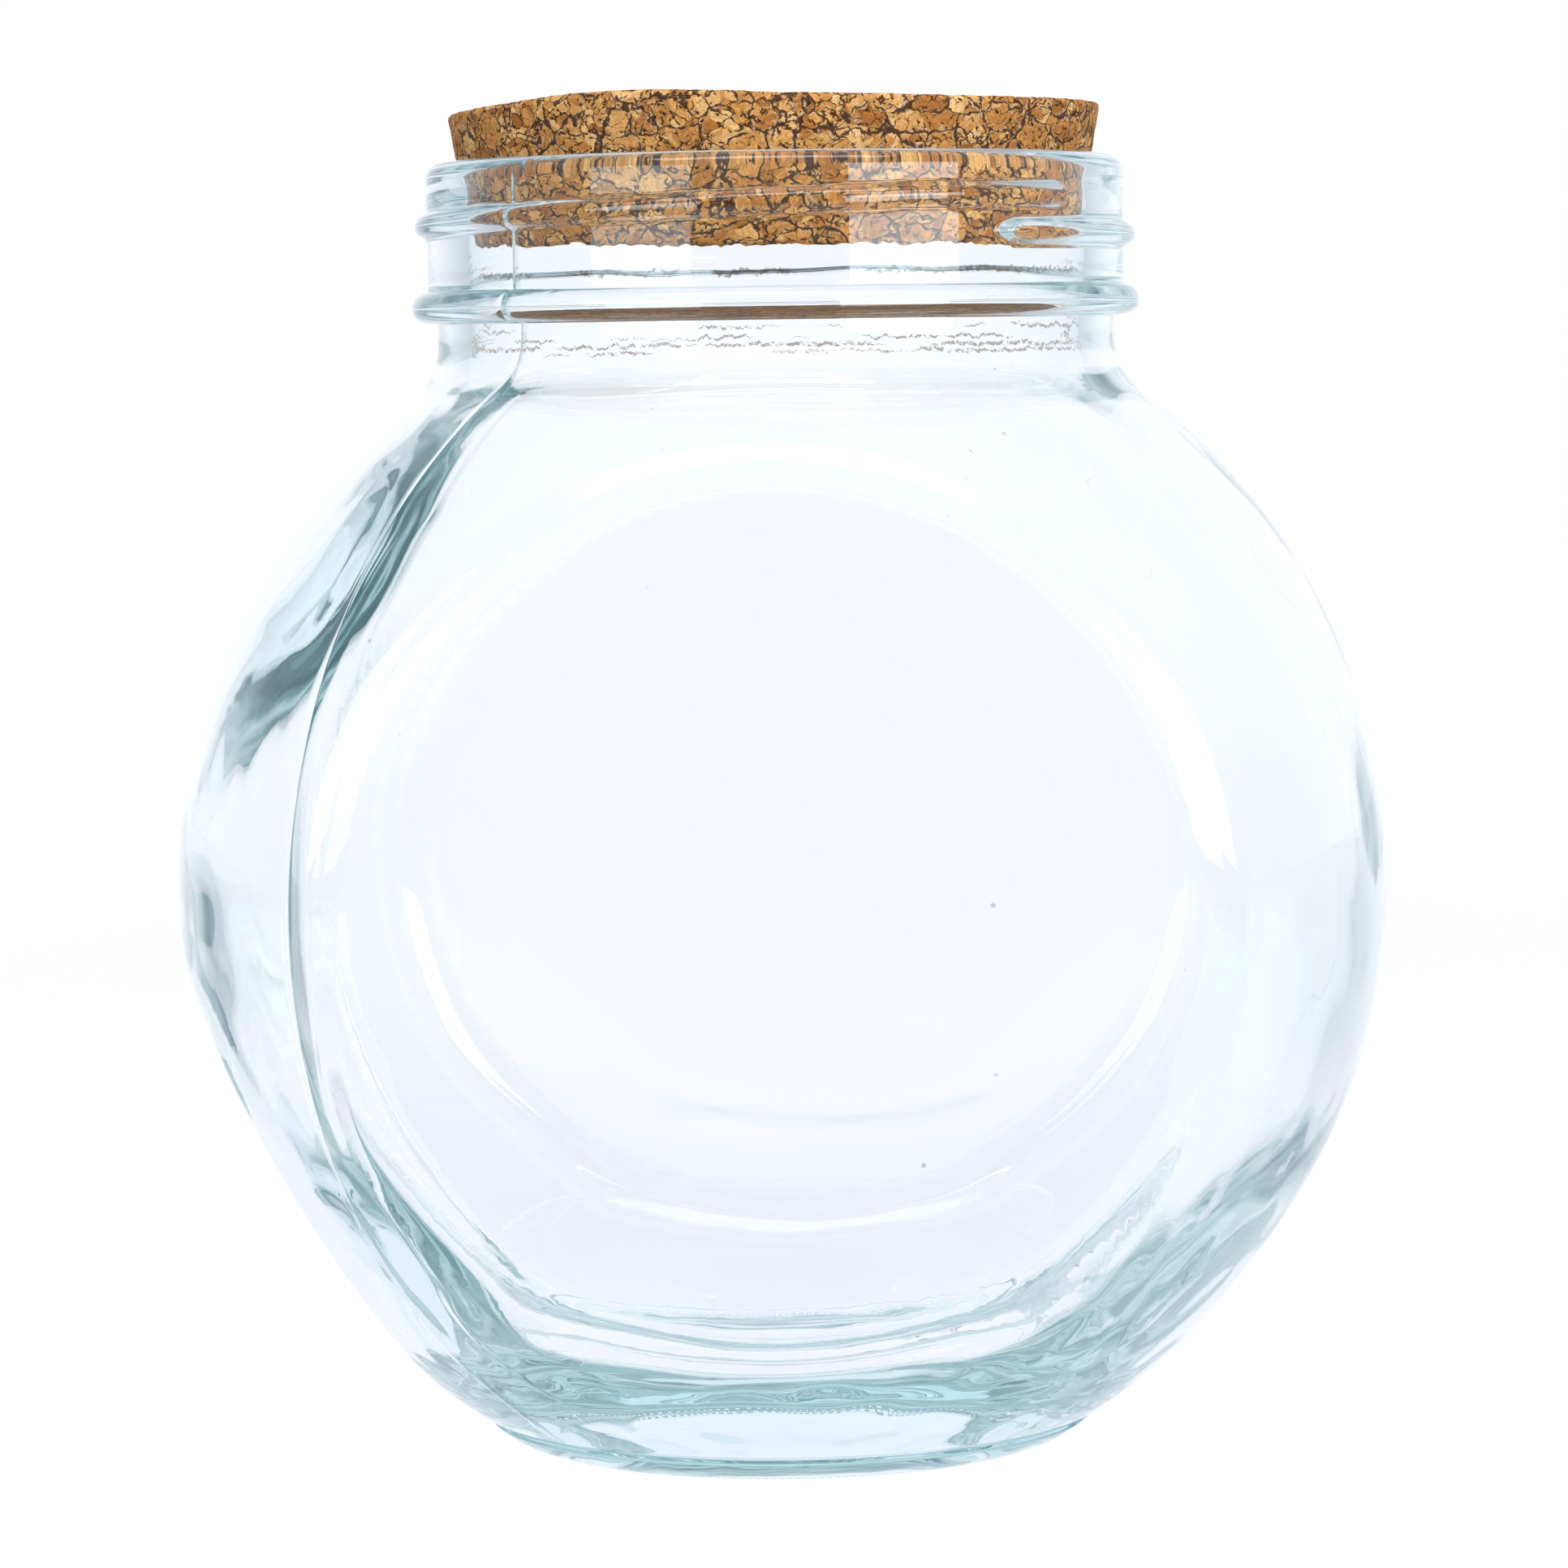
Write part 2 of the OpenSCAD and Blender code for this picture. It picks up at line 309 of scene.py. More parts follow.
def waveWall(points):
    # the blown inside is a little uneven: calm behind the panels, livelier at the shoulder and the base
    r = np.hypot(points[..., 0], points[..., 1])
    z = points[..., 2]
    panel = smoothStep(-9, -3, np.abs(points[..., 1]) - 55.2)
    live = 0.05 + 0.13 * (1 - panel)
    base = 1 - smoothStep(14, 34, z)
    live += 0.35 * base * smoothStep(10, 30, r)
    live *= 1 - smoothStep(150, 157, z)
    push = noiseField(points, 17.0, 3.1) * live + noiseField(points, 7.0, 8.7) * live * 0.35
    gathered = extraWall(points[..., 0], points[..., 1], z)
    push += (0.12 * gathered + 0.12 * base) * noiseField(points, 6.0, 43.0) + (0.05 * gathered + 0.05 * base) * noiseField(points, 3.6, 47.0)
    ripple = smoothStep(126, 132, z) * (1 - smoothStep(149, 151, z))
    push += 0.02 * ripple * noiseField(points / [9.0, 9.0, 1.4], 1.0, 21.0)
    unit = np.maximum(np.sqrt((points[..., :2] ** 2).sum(-1) + (z - 75) ** 2), 1)
    moved = points.copy()
    moved[..., 0] += push * points[..., 0] / unit
    moved[..., 1] += push * points[..., 1] / unit
    moved[..., 2] += push * (z - 75) / unit * (z < 130)
    return moved


phi = columnAngles()
inside = waveWall(innerRows(phi))
inside[:, -1] = inside[:, 0]
inside[-1] = inside[-1].mean(0)
rows = np.concatenate([outerRows(phi), inside])
jar = wrapGrid("jar_glass", rows)
print("jar:", len(jar.data.polygons), "faces")


# the cork stopper

corkShape = {
    "columns": 320,
    "bottomR": 37.365,
    "topR": 40.6,
    "bottomZ": 149.2,
    "edge": 0.5,
}
# height of the cut top from left to right
cutX = [-41, -33, -23, -15, -5, 2.5, 10, 25, 41]
cutZ = [166.0, 166.6, 167.45, 167.6, 167.3, 166.9, 166.8, 166.5, 166.5]


def corkRows(phi):
    k = corkShape
    c, s = np.cos(phi), np.sin(phi)
    rows = []
    topAt = lambda r: np.interp(r * c, cutX, cutZ)
    baseAt = lambda r: k["bottomZ"] - 0.35 * r * c / k["bottomR"]
    slope = (k["topR"] - k["bottomR"]) / 17.8
    for r in np.linspace(0, k["bottomR"] - k["edge"], 22):
        rows.append(np.stack([r * c, r * s, baseAt(r)], -1))
    for t in np.linspace(0, 1, 60):
        z = baseAt(k["bottomR"]) * (1 - t) + topAt(k["topR"]) * t
        r = k["bottomR"] + slope * (z - k["bottomZ"])
        inset = k["edge"] * (np.clip(1 - t * 17.8 / k["edge"], 0, 1) ** 2 + np.clip(1 - (1 - t) * 17.8 / k["edge"], 0, 1) ** 2)
        rows.append(np.stack([(r - inset) * c, (r - inset) * s, z], -1))
    for r in np.linspace(k["topR"] - k["edge"], 0, 24)[1:]:
        rows.append(np.stack([r * c, r * s, topAt(r)], -1))
    return np.array(rows)


def roughenCork(points):
    # pressed granules leave the sides uneven and the rims chipped
    r = np.hypot(points[..., 0], points[..., 1])
    z = points[..., 2]
    side = smoothStep(36.2, 37.2, r)
    push = 0.07 * noiseField(points, 2.2, 5.0) + 0.05 * noiseField(points, 0.9, 9.0)
    rim = np.maximum(smoothStep(165.4, 166.6, z + 0.0) * side, (1 - smoothStep(149.4, 150.6, z)) * side)
    chip = np.clip(noiseField(points, 1.7, 14.0) - 0.12, 0, 1) * 0.9 * rim
    foot = 1 - smoothStep(149.6, 151.4, z)
    ragged = np.clip(noiseField(points * [1, 1, 0.2], 2.4, 31.0) + 0.2, 0, 1) * 0.55 + 0.45 * noiseField(points * [1, 1, 0.2], 0.9, 37.0) - 0.25
    ragged = np.maximum(ragged, -0.4) * smoothStep(35.6, 36.5, r) + 0.8 * (1 - smoothStep(35.2, 36.2, r))
    moved = points.copy()
    scale = 1 + (push * side - chip) / np.maximum(r, 1)
    moved[..., 0] *= scale
    moved[..., 1] *= scale
    moved[..., 2] += (1 - side) * push * 0.8 + push * rim + foot * ragged
    return moved


angles = np.linspace(0, 2 * math.pi, corkShape["columns"] + 1)
corkPoints = roughenCork(corkRows(angles))
corkPoints[:, -1] = corkPoints[:, 0]
corkPoints[0] = corkPoints[0].mean(0)
corkPoints[-1] = corkPoints[-1].mean(0)
cork = wrapGrid("cork_stopper", corkPoints)
print("cork:", len(cork.data.polygons), "faces")


# materials

def newMaterial(name):
    material = bpy.data.materials.new(name)
    material.use_nodes = True
    material.node_tree.nodes.clear()
    return material, material.node_tree


def addNode(tree, kind, at=(0, 0), **settings):
    node = tree.nodes.new(kind)
    node.location = at
    for key, value in settings.items():
        setattr(node, key, value)
    return node


def setStops(ramp, stops):
    elements = ramp.color_ramp.elements
    while len(elements) < len(stops):
        elements.new(0.5)
    for element, (position, color) in zip(elements, stops):
        element.position = position
        element.color = (*color, 1)


def maths(tree, operation, a, b=None, at=(0, 0), clamp=False):
    node = addNode(tree, "ShaderNodeMath", at, operation=operation, use_clamp=clamp)
    for socket, value in zip(node.inputs, (a, b)):
        if value is None:
            continue
        if isinstance(value, (int, float)):
            socket.default_value = value
        else:
            tree.links.new(value, socket)
    return node.outputs[0]


def vectorMaths(tree, operation, a, b=None, scale=None, at=(0, 0)):
    node = addNode(tree, "ShaderNodeVectorMath", at, operation=operation)
    for socket, value in zip(node.inputs, (a, b)):
        if value is None:
            continue
        if isinstance(value, tuple):
            socket.default_value = value
        else:
            tree.links.new(value, socket)
    if scale is not None:
        node.inputs["Scale"].default_value = scale
    return node.outputs[0]


def noiseTexture(tree, vector, scale, detail=2.0, rough=0.5, at=(0, 0)):
    node = addNode(tree, "ShaderNodeTexNoise", at)
    node.inputs["Scale"].default_value = scale
    node.inputs["Detail"].default_value = detail
    node.inputs["Roughness"].default_value = rough
    tree.links.new(vector, node.inputs["Vector"])
    return node


def cellTexture(tree, vector, scale, feature="F1", at=(0, 0)):
    node = addNode(tree, "ShaderNodeTexVoronoi", at, feature=feature)
    node.inputs["Scale"].default_value = scale
    tree.links.new(vector, node.inputs["Vector"])
    return node


def mapRange(tree, value, fromLow, fromHigh, toLow=0.0, toHigh=1.0, at=(0, 0), smooth=True):
    node = addNode(tree, "ShaderNodeMapRange", at, interpolation_type="SMOOTHSTEP" if smooth else "LINEAR")
    tree.links.new(value, node.inputs["Value"])
    for name, amount in (("From Min", fromLow), ("From Max", fromHigh), ("To Min", toLow), ("To Max", toHigh)):
        node.inputs[name].default_value = amount
    return node.outputs["Result"]


def mixColor(tree, factor, a, b, at=(0, 0), blend="MIX"):
    node = addNode(tree, "ShaderNodeMix", at, data_type="RGBA", blend_type=blend)
    for socket, value in ((node.inputs[0], factor), (node.inputs[6], a), (node.inputs[7], b)):
        if isinstance(value, (int, float, tuple)):
            socket.default_value = value
        else:
            tree.links.new(value, socket)
    return node.outputs[2]


def mixValue(tree, factor, a, b, at=(0, 0)):
    node = addNode(tree, "ShaderNodeMix", at, data_type="FLOAT")
    for socket, value in ((node.inputs[0], factor), (node.inputs[2], a), (node.inputs[3], b)):
        if isinstance(value, (int, float)):
            socket.default_value = value
        else:
            tree.links.new(value, socket)
    return node.outputs[0]


glassLook = {
    "tint": (0.996, 1.0, 1.0, 1.0),
    "ior": 1.52,
    "absorbColor": (0.0, 0.62, 0.70, 1.0),
    "absorbDensity": 6.5,
    # painted glow, standing in for light that runs on inside thick glass past the traced reflections: base and sides,
    # then the left shoulder
    "paintedGlow": [(0.30, (0.10, 0.21, 0.24)), (0.44, (0.34, 0.47, 0.51)), (0.58, (0.66, 0.74, 0.76)), (0.72, (0.94, 0.97, 0.98))],
    "paintedGlowDark": [(0.34, (0.08, 0.16, 0.18)), (0.48, (0.22, 0.34, 0.375)), (0.60, (0.47, 0.58, 0.61)), (0.74, (0.80, 0.86, 0.88))],
    "streak": (45.0, 110.0, 45.0),
    "shadowPass": 0.86,  # how much of the lamps' light each wall lets through
    # dark lines inside the neck's front half: height and half thickness in mm, and how much of the round they leave out
    "neckLinesAt": [(145.9, 0.42, 0.42), (139.2, 0.26, 0.50), (137.6, 0.26, 0.46), (136.5, 0.40, 0.42), (135.4, 0.30, 0.45)],
    # dark streaks that run up the neck's inside: direction, lower and upper end, half thickness
    "neckStreaksAt": [(-153.0, 144.9, 149.0, 0.7), (-153.0, 135.3, 139.0, 0.7), (-27.0, 136.3, 139.3, 0.6)],
    "line": (0.15, 0.095, 0.055, 1),
    "speckEvery": 0.11,          # per mm
    "speck": (0.25, 0.28, 0.30, 1),
    "ticks": 210.0,              # per turn in radians, round the heel
    "bumpDepth": 0.0003,
}


def bandMask(tree, value, low, high, soft, at):
    up = mapRange(tree, value, low - soft, low + soft, at=at)
    down = mapRange(tree, value, high - soft, high + soft, 1.0, 0.0, (at[0], at[1] - 200))
    return maths(tree, "MULTIPLY", up, down, (at[0] + 200, at[1]))


def glassMarksGroup():
    # dark lines and streaks inside the neck's front half, specks in the wall and ticks round the heel, as a mask and a
    # height
    k = glassLook
    group = bpy.data.node_groups.new("glass_marks", "ShaderNodeTree")
    group.interface.new_socket(name="Vector", in_out="INPUT", socket_type="NodeSocketVector")
    for name in ("Lines", "Specks", "Height"):
        group.interface.new_socket(name=name, in_out="OUTPUT", socket_type="NodeSocketFloat")
    start = addNode(group, "NodeGroupInput", (-2200, 0))
    end = addNode(group, "NodeGroupOutput", (900, 0))
    place = vectorMaths(group, "SCALE", start.outputs["Vector"], scale=1000.0, at=(-2000, 0))  # mm
    split = addNode(group, "ShaderNodeSeparateXYZ", (-1800, 200))
    group.links.new(place, split.inputs[0])
    z = split.outputs["Z"]
    outward = vectorMaths(group, "LENGTH", vectorMaths(group, "MULTIPLY", place, (1.0, 1.0, 0.0), at=(-1800, 0)), at=(-1600, 0))
    r = outward.node.outputs["Value"]

    inner = mapRange(group, r, 39.6, 40.4, 1.0, 0.0, (-1400, 300))
    ring = vectorMaths(group, "MULTIPLY", place, (1.0, 1.0, 0.0), at=(-1800, -400))
    jagged, keeping = [], []
    for i in range(2):  # one noise gives three lines their course, through its colour
        shifted = vectorMaths(group, "ADD", ring, (0.0, 0.0, 37.0 * i), at=(-1600, -500 - 300 * i))
        for scale, detail, found in ((0.6, 4.0, jagged), (0.085, 1.0, keeping)):
            parts = addNode(group, "ShaderNodeSeparateColor", (-1250, -500 - 300 * i))
            group.links.new(noiseTexture(group, shifted, scale, detail, 0.75, (-1400, -500 - 300 * i)).outputs["Color"], parts.inputs[0])
            found.extend(parts.outputs)
    lines = None
    for i, (height, thick, share) in enumerate(k["neckLinesAt"]):
        middle = mapRange(group, jagged[i], 0.2, 0.8, height - 0.8, height + 0.8, (-1050, -500 - 300 * i), smooth=False)
        off = maths(group, "ABSOLUTE", maths(group, "SUBTRACT", z, middle, (-900, -500 - 300 * i)), at=(-800, -500 - 300 * i))
        width = mapRange(group, keeping[i], share, share + 0.10, 0.001, thick, (-1050, -650 - 300 * i))
        one = mapRange(group, maths(group, "DIVIDE", off, width, (-700, -500 - 300 * i)), 0.5, 1.0, 1.0, 0.0, (-600, -500 - 300 * i))
        lines = one if lines is None else maths(group, "MAXIMUM", lines, one, (-450, -500 - 300 * i))
    crumbs = noiseTexture(group, place, 1.6, 3.0, 0.7, (-1400, 900))
    lines = maths(group, "MULTIPLY", lines, mapRange(group, crumbs.outputs["Fac"], 0.40, 0.50, at=(-1000, 900)), (-300, -350))
    around = maths(group, "ARCTAN2", split.outputs["Y"], split.outputs["X"], (-1600, 700))
    for i, (turned, low, high, thick) in enumerate(k["neckStreaksAt"]):
        apart = maths(group, "MULTIPLY", maths(group, "SUBTRACT", around, math.radians(turned), (-1250, 1100 + 200 * i)), 38.0, (-1100, 1100 + 200 * i))
        shifted = maths(group, "ADD", apart, mapRange(group, crumbs.outputs["Fac"], 0.3, 0.7, -1.3, 1.3, (-1000, 1000), smooth=False), (-950, 1100 + 200 * i))
        one = mapRange(group, maths(group, "ABSOLUTE", shifted, at=(-800, 1100 + 200 * i)), 0.4 * thick, thick, 1.0, 0.0, (-650, 1100 + 200 * i))
        one = maths(group, "MULTIPLY", one, bandMask(group, z, low, high, 0.3, (-650, 1900 + 400 * i)), (-400, 1100 + 200 * i))
        lines = maths(group, "MAXIMUM", lines, one, (-350, 1100 + 200 * i))
    # the lines and streaks are kept to the neck's front half
    near = mapRange(group, split.outputs["Y"], 4.0, 9.0, 1.0, 0.0, (-1400, 100))
    lines = maths(group, "MULTIPLY", lines, maths(group, "MULTIPLY", inner, near, (-1200, 200)), (-300, -200))
    group.links.new(lines, end.inputs["Lines"])

    cells = cellTexture(group, place, k["speckEvery"], "F1", (-1400, -1250))
    chosen = addNode(group, "ShaderNodeSeparateColor", (-1200, -1350))
    group.links.new(cells.outputs["Color"], chosen.inputs[0])
    rare = mapRange(group, chosen.outputs[0], 0.80, 0.82, at=(-1000, -1350))
    dot = mapRange(group, cells.outputs["Distance"], 0.018, 0.045, 1.0, 0.0, (-1000, -1150))
    specks = maths(group, "MULTIPLY", dot, rare, (-800, -1250))
    group.links.new(specks, end.inputs["Specks"])

    turn = maths(group, "ARCTAN2", split.outputs["Y"], split.outputs["X"], (-1600, -1600))
    tick = maths(group, "SINE", maths(group, "MULTIPLY", turn, k["ticks"], (-1400, -1600)), at=(-1250, -1600))
    tick = mapRange(group, tick, -0.1, 0.6, at=(-1100, -1600))
    heel = maths(group, "MULTIPLY", bandMask(group, r, 31.2, 33.0, 0.3, (-1400, -1800)), mapRange(group, z, 1.8, 2.6, 1.0, 0.0, (-1100, -1800)), (-900, -1800))
    ticks = maths(group, "MULTIPLY", tick, heel, (-700, -1700))
    group.links.new(ticks, end.inputs["Height"])
    return group


def makeGlass():
    material, tree = newMaterial("clear_glass")
    material.cycles.emission_sampling = "NONE"
    shader = addNode(tree, "ShaderNodeBsdfPrincipled", (0, 0))
    shader.inputs["Roughness"].default_value = 0.0
    shader.inputs["IOR"].default_value = glassLook["ior"]
    shader.inputs["Transmission Weight"].default_value = 1.0

    # painted glow: the glass glows only at the last traced reflection, standing in for the light caught in the wall
    # that would be lost
    coords = addNode(tree, "ShaderNodeTexCoord", (-1300, -100))
    marks = addNode(tree, "ShaderNodeGroup", (-1100, 700))
    marks.node_tree = glassMarksGroup()
    tree.links.new(coords.outputs["Object"], marks.inputs["Vector"])
    color = mixColor(tree, maths(tree, "MULTIPLY", marks.outputs["Lines"], 0.92, (-700, 700)), glassLook["tint"], glassLook["line"], (-500, 700))
    color = mixColor(tree, maths(tree, "MULTIPLY", marks.outputs["Specks"], 0.8, (-700, 550)), color, glassLook["speck"], (-300, 700))
    tree.links.new(color, shader.inputs["Base Color"])
    bump = addNode(tree, "ShaderNodeBump", (-300, 400))
    bump.inputs["Strength"].default_value = 0.6
    bump.inputs["Distance"].default_value = glassLook["bumpDepth"]
    tree.links.new(marks.outputs["Height"], bump.inputs["Height"])
    tree.links.new(bump.outputs["Normal"], shader.inputs["Normal"])
    # painted glow in streaks, darker on the left shoulder
    along = vectorMaths(tree, "MULTIPLY", coords.outputs["Object"], glassLook["streak"], at=(-1100, -100))
    streaks = noiseTexture(tree, along, 1.0, 3.0, 0.6, (-900, -100))
    light, dark = addNode(tree, "ShaderNodeValToRGB", (-700, -100)), addNode(tree, "ShaderNodeValToRGB", (-700, 200))
    for ramp, stops in ((light, glassLook["paintedGlow"]), (dark, glassLook["paintedGlowDark"])):
        tree.links.new(streaks.outputs["Fac"], ramp.inputs["Fac"])
        setStops(ramp, stops)
    split = addNode(tree, "ShaderNodeSeparateXYZ", (-1100, 200))
    tree.links.new(coords.outputs["Object"], split.inputs[0])
    left = mapRange(tree, split.outputs["X"], -0.045, -0.02, 1.0, 0.0, (-900, 350))
    high = mapRange(tree, split.outputs["Z"], 0.085, 0.105, at=(-900, 200))
    shoulder = maths(tree, "MULTIPLY", left, high, (-700, 350))
    tree.links.new(mixColor(tree, shoulder, light.outputs["Color"], dark.outputs["Color"], (-400, 50)), shader.inputs["Emission Color"])
    # painted glow only where a path is cut off, never for diffuse rays
    paths = addNode(tree, "ShaderNodeLightPath", (-900, -500))
    reflected = maths(tree, "GREATER_THAN", paths.outputs["Glossy Depth"], 4.5, (-600, -500))
    deep = maths(tree, "GREATER_THAN", paths.outputs["Ray Depth"], 12.5, (-600, -650))
    lost = maths(tree, "MAXIMUM", reflected, deep, (-400, -500))
    seen = maths(tree, "SUBTRACT", 1.0, paths.outputs["Is Diffuse Ray"], (-600, -800))
    tree.links.new(maths(tree, "MULTIPLY", lost, seen, (-250, -500)), shader.inputs["Emission Strength"])
    blocked = maths(tree, "MULTIPLY", paths.outputs["Is Shadow Ray"], glassLook["shadowPass"], (-600, -950))
    tree.links.new(maths(tree, "SUBTRACT", 1.0, blocked, (-400, -950)), shader.inputs["Alpha"])

    depth = addNode(tree, "ShaderNodeVolumeAbsorption", (0, -400))
    depth.inputs["Color"].default_value = glassLook["absorbColor"]
    depth.inputs["Density"].default_value = glassLook["absorbDensity"]
    out = addNode(tree, "ShaderNodeOutputMaterial", (300, 0))
    tree.links.new(shader.outputs["BSDF"], out.inputs["Surface"])
    tree.links.new(depth.outputs["Volume"], out.inputs["Volume"])
    return material


corkLook = {
    "squash": (1.0, 1.0, 1.35),  # granules lie flat
    "grainSize": 3.9,            # mm, the large granules
    "crumbSize": 1.7,            # mm, the small ones between them
    "lineWidth": 0.17,           # mm, cracks and glue lines
    "tones": [(0.0, (0.40, 0.135, 0.027)), (0.25, (0.55, 0.220, 0.050)), (0.5, (0.68, 0.305, 0.080)),
              (0.75, (0.78, 0.380, 0.118)), (1.0, (0.92, 0.53, 0.21))],
    "line": (0.045, 0.011, 0.003, 1),
    # colour of the painted highlight beside the cracks
    "light": (0.92, 0.66, 0.40, 1),
    "pit": (0.045, 0.016, 0.007, 1),
    "seatedToneAndShade": (0.90, 0.81, 0.66),  # the part that sits in the bore is darker and warmer: partly the cork's own deeper colour, partly painted shade from the glass neck round it
    "bump": 0.7,
    "bumpDepth": 0.0004,
}


def corkGrainGroup():
    k = corkLook
    group = bpy.data.node_groups.new("cork_grain", "ShaderNodeTree")
    group.interface.new_socket(name="Vector", in_out="INPUT", socket_type="NodeSocketVector")
    for name, kind in (("Color", "NodeSocketColor"), ("Height", "NodeSocketFloat"), ("Roughness", "NodeSocketFloat")):
        group.interface.new_socket(name=name, in_out="OUTPUT", socket_type=kind)
    start = addNode(group, "NodeGroupInput", (-2400, 0))
    end = addNode(group, "NodeGroupOutput", (1600, 0))
    place = vectorMaths(group, "SCALE", start.outputs["Vector"], scale=1000.0, at=(-2200, 0))  # mm
    bent = vectorMaths(group, "MULTIPLY", place, k["squash"], at=(-2050, 0))
    for i, (scale, reach) in enumerate(((0.30, 1.5), (0.95, 0.5), (3.0, 0.22))):
        warp = noiseTexture(group, place, scale, 2.0, 0.5, (-1900, -300 - 250 * i))
        pull = vectorMaths(group, "SUBTRACT", warp.outputs["Color"], (0.5, 0.5, 0.5), at=(-1700, -300 - 250 * i))
        pull = vectorMaths(group, "SCALE", pull, scale=reach * 2, at=(-1550, -300 - 250 * i))
        bent = vectorMaths(group, "ADD", bent, pull, at=(-1400 + 150 * i, 0))

    # large granules with crumbs between them
    sizes = (k["grainSize"], k["crumbSize"])
    cells = [cellTexture(group, bent, 1 / size, "F1", (-900, 300 - 300 * i)) for i, size in enumerate(sizes)]
    rims = [cellTexture(group, bent, 1 / size, "DISTANCE_TO_EDGE", (-900, -300 - 300 * i)) for i, size in enumerate(sizes)]
    patch = noiseTexture(group, place, 0.26, 1.0, 0.5, (-900, 600))
    crumbs = mapRange(group, patch.outputs["Fac"], 0.50, 0.53, at=(-700, 600))
    tone = mixColor(group, crumbs, cells[0].outputs["Color"], cells[1].outputs["Color"], (-600, 300))
    split = addNode(group, "ShaderNodeSeparateColor", (-450, 300))
    group.links.new(tone, split.inputs[0])
    apart = [maths(group, "MULTIPLY", rim.outputs["Distance"], size, (-700, -300 - 300 * i))
             for i, (rim, size) in enumerate(zip(rims, sizes))]

    # cracks that widen, fade and stop along each rim, and a painted highlight beside the main ones
    wander = noiseTexture(group, place, 0.75, 3.0, 0.6, (-900, -900))
    width = mapRange(group, wander.outputs["Fac"], 0.36, 0.66, 0.01, 2.5 * k["lineWidth"], (-700, -900), smooth=False)
    mainLine = mapRange(group, maths(group, "DIVIDE", apart[0], width, (-450, -300)), 0.3, 1.0, 1.0, 0.0, (-300, -300))
    stray = noiseTexture(group, place, 1.3, 2.0, 0.5, (-900, -1150))
    thin = mapRange(group, stray.outputs["Fac"], 0.44, 0.64, 0.0, 1.5 * k["lineWidth"], (-700, -1150), smooth=False)
    thin = mixValue(group, crumbs, maths(group, "MULTIPLY", thin, 0.55, (-550, -1150)), thin, (-450, -1050))
    thin = maths(group, "MAXIMUM", thin, 0.001, (-350, -1050))
    fineLine = mapRange(group, maths(group, "DIVIDE", apart[1], thin, (-450, -600)), 0.3, 1.0, 1.0, 0.0, (-300, -600))
    line = maths(group, "MAXIMUM", mainLine, fineLine, (-150, -450))
    paintedGlint = mapRange(group, maths(group, "DIVIDE", apart[0], width, (-450, -750)), 1.0, 2.6, 1.0, 0.0, (-300, -800))
    paintedGlint = maths(group, "MULTIPLY", paintedGlint, mapRange(group, stray.outputs["Fac"], 0.42, 0.58, at=(-450, -900)), (-150, -800))

    # fibres that run a different way in each granule
    along = vectorMaths(group, "MULTIPLY_ADD", tone, (2.9, 2.9, 2.9), at=(-300, 100))
    along.node.inputs[2].default_value = (0.12, 0.12, 0.12)
    fibreAt = vectorMaths(group, "MULTIPLY", bent, along, at=(-150, 100))
    fibre = noiseTexture(group, fibreAt, 1.3, 4.0, 0.7, (0, 100))
    streak = mapRange(group, fibre.outputs["Fac"], 0.32, 0.68, 0.60, 1.28, (150, 100), smooth=False)
    fine = noiseTexture(group, place, 4.5, 3.0, 0.65, (0, -150))
    speck = mapRange(group, fine.outputs["Fac"], 0.3, 0.7, 0.80, 1.16, (150, -150), smooth=False)

    ramp = addNode(group, "ShaderNodeValToRGB", (-250, 400))
    group.links.new(split.outputs[0], ramp.inputs["Fac"])
    setStops(ramp, k["tones"])
    shade = maths(group, "MULTIPLY", streak, speck, (300, 0))
    color = vectorMaths(group, "SCALE", ramp.outputs["Color"], at=(450, 300))
    group.links.new(shade, color.node.inputs["Scale"])

    # bark specks and open pits
    holes = cellTexture(group, bent, 0.95, "F1", (-200, -1000))
    chosen = addNode(group, "ShaderNodeSeparateColor", (0, -1000))
    group.links.new(holes.outputs["Color"], chosen.inputs[0])
    rare = mapRange(group, chosen.outputs[1], 0.70, 0.73, at=(150, -1000))
    small = mapRange(group, holes.outputs["Distance"], 0.14, 0.27, 1.0, 0.0, (150, -1150))
    pit = maths(group, "MULTIPLY", rare, small, (300, -1050))

    # painted highlight beside the cracks first, then the cracks and pits
    color = mixColor(group, maths(group, "MULTIPLY", paintedGlint, 0.45, (450, -800)), color, k["light"], (650, 200))
    color = mixColor(group, maths(group, "MULTIPLY", line, 0.94, (450, -500)), color, k["line"], (850, 200))
    color = mixColor(group, pit, color, k["pit"], (1050, 200))
    height = addNode(group, "ShaderNodeSeparateXYZ", (900, 500))
    group.links.new(place, height.inputs[0])
    # darker and warmer below the lip: partly the cork's own colour, partly painted shade
    seatedToneAndShade = mapRange(group, height.outputs["Z"], 158.5, 160.5, 1.0, 0.0, (1050, 500))
    color = mixColor(group, seatedToneAndShade, color, vectorMaths(group, "MULTIPLY", color, k["seatedToneAndShade"], at=(1100, 400)), (1250, 300))
    group.links.new(color, end.inputs["Color"])
    high = maths(group, "MULTIPLY", split.outputs[1], 0.3, (450, -200))
    high = maths(group, "ADD", high, maths(group, "MULTIPLY", fibre.outputs["Fac"], 0.4, (450, -350)), (600, -250))
    high = maths(group, "SUBTRACT", high, maths(group, "MULTIPLY", line, 0.5, (450, -650)), (750, -350))
    high = maths(group, "SUBTRACT", high, maths(group, "MULTIPLY", pit, 0.9, (450, -1050)), (900, -450))
    group.links.new(high, end.inputs["Height"])
    rough = mapRange(group, fibre.outputs["Fac"], 0.3, 0.7, 0.86, 0.70, (900, -100))
    group.links.new(rough, end.inputs["Roughness"])
    return group


